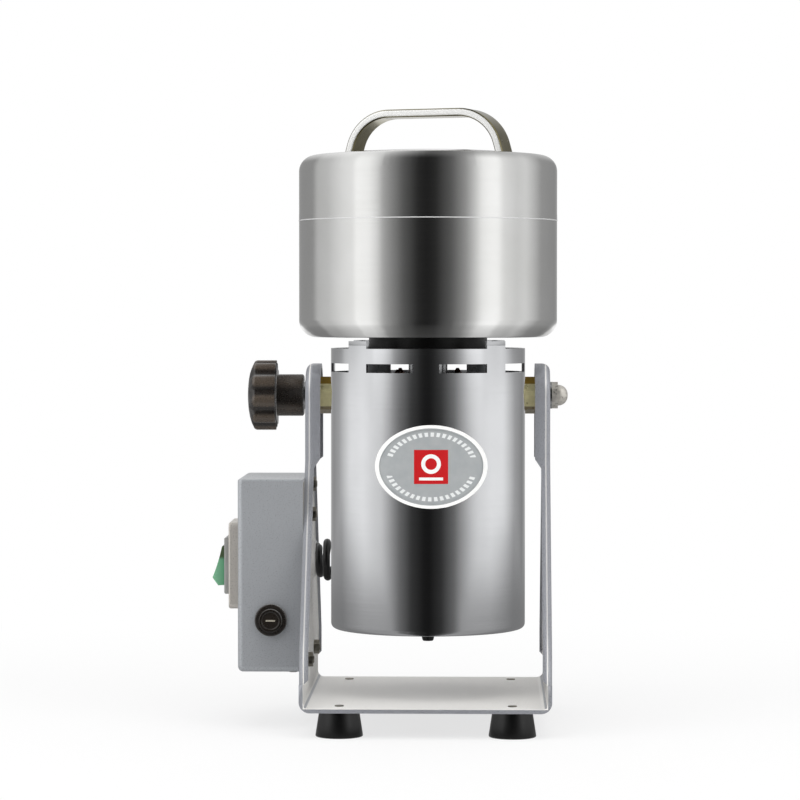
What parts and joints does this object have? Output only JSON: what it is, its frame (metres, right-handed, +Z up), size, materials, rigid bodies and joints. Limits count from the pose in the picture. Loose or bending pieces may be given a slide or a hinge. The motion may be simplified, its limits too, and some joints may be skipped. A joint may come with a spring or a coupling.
{
  "type": "analytical lab mill",
  "caption": "Bench grinder whose motor head, with a round lidded bowl on top, tilts between the arms of a folded stand. A control box on one arm carries the switch.",
  "frame": {"origin": "middle of the whole mill's footprint, on the bench under the feet", "axes": "+Z up, X along the head's tilt axis with the control box on -X, -Y to the front with the badge"},
  "size_m": [0.201, 0.1566, 0.3472],
  "materials": {
    "grey_paint": "grey powder coat",
    "black_rubber": "moulded",
    "stainless": "polished, finely brushed",
    "polished_steel": "polished",
    "zinc_steel": "zinc plated",
    "machined_steel": "turned",
    "brass_metal": "turned and drawn bar",
    "copper_wire": "enamelled copper",
    "cast_aluminium": "as cast",
    "badge_plate": "satin with a white rim",
    "laminations": "stamped sheets",
    "black_metal": "black",
    "dark_plastic": "moulded",
    "black_plastic": "moulded",
    "grey_plastic": "moulded",
    "green_plastic": "moulded",
    "glass_and_nickel": "glass tube",
    "carbon": "carbon",
    "silicone": "silicone"
  },
  "bodies": {
    "stand": {"bracket": "grey_paint", "rubber_feet": "black_rubber", "foot_screws": "zinc_steel", "control_box": "grey_paint", "box_back_plate": "zinc_steel", "cover_screws": "zinc_steel", "box_studs": "zinc_steel", "box_nuts": "zinc_steel", "switch_boss": "grey_plastic", "switch_body": "black_plastic", "fuse_holder": "dark_plastic", "mains_inlet": "black_plastic", "inlet_pins": "brass_metal", "lead_grommet": "black_rubber", "motor_lead": "black_rubber"},
    "rocker": {"rocker": "green_plastic"},
    "fuse": {"fuse_link": "glass_and_nickel"},
    "fuse_cap": {"fuse_cap": "dark_plastic"},
    "head": {"lead_bush": "black_rubber", "housing": "stainless", "housing_plug": "black_rubber", "badge": "badge_plate", "brass_bosses": "brass_metal", "boss_nuts": "zinc_steel", "pivot_stud": "zinc_steel", "pivot_washer": "polished_steel", "acorn_nut": "polished_steel", "upper_end_shield": "cast_aluminium", "lower_end_shield": "cast_aluminium", "upper_bearing": "machined_steel", "lower_bearing": "machined_steel", "motor_bolts": "zinc_steel", "stator_core": "laminations", "field_coils": "copper_wire", "brush_holders": "black_plastic", "carbon_brushes": "carbon", "brush_springs": "zinc_steel", "collar": "black_metal", "shaft_seal": "black_rubber", "bowl": "stainless", "bowl_bush": "stainless", "bowl_screws": "zinc_steel"},
    "clamp_washer": {"clamp_washer": "polished_steel"},
    "clamp_knob": {"clamp_knob": "dark_plastic", "clamp_stud": "zinc_steel"},
    "rotor": {"shaft": "machined_steel", "shaft_sleeve": "machined_steel", "fan": "black_plastic", "armature_core": "laminations", "armature_windings": "copper_wire", "commutator": "copper_wire", "blade_spacer": "zinc_steel", "blade_nut": "zinc_steel", "blades": "stainless"},
    "lid_plate": {"lid_plate": "stainless", "lid_seal": "silicone", "lid_pin": "polished_steel"},
    "lid": {"lid_shell": "stainless", "handle": "polished_steel", "handle_screws": "zinc_steel"}
  },
  "joints": [
    {"name": "head_tilt", "type": "hinge", "parent": "stand", "child": "head", "pos_m": [0.02135, 0, 0.1856], "axis": [1, 0, 0], "range_deg": [-100, 100], "deforming": ["motor_lead"]},
    {"name": "clamp_release", "type": "slide", "parent": "head", "child": "clamp_washer", "axis": [-1, 0, 0], "range_m": [0, 0.0025]},
    {"name": "clamp_turn", "type": "hinge", "parent": "clamp_washer", "child": "clamp_knob", "pos_m": [-0.06464, 0, 0.1856], "axis": [-1, 0, 0], "range_deg": [0, 720]},
    {"name": "rotor_spin", "type": "hinge", "parent": "head", "child": "rotor", "pos_m": [0.02135, 0, 0.13], "axis": [0, 0, 1], "continuous": true},
    {"name": "lid_lift", "type": "slide", "parent": "head", "child": "lid_plate", "axis": [0, 0, 1], "range_m": [0, 0.08]},
    {"name": "lid_turn", "type": "hinge", "parent": "lid_plate", "child": "lid", "pos_m": [0.02135, 0, 0.31], "axis": [0, 0, 1], "range_deg": [0, 30]},
    {"name": "rocker_tilt", "type": "hinge", "parent": "stand", "child": "rocker", "pos_m": [-0.09165, 0, 0.0894], "axis": [0, -1, 0], "range_deg": [0, 34]},
    {"name": "fuse_draw", "type": "slide", "parent": "stand", "child": "fuse", "axis": [0, -1, 0], "range_m": [0, 0.03]},
    {"name": "fuse_cap_turn", "type": "hinge", "parent": "fuse", "child": "fuse_cap", "pos_m": [-0.06545, -0.0405, 0.0612], "axis": [0, -1, 0], "range_deg": [0, 90]}
  ],
  "couplings": [
    {"joint": "clamp_release", "follows": "clamp_turn", "m_per_rad": 0.00019894}
  ]
}
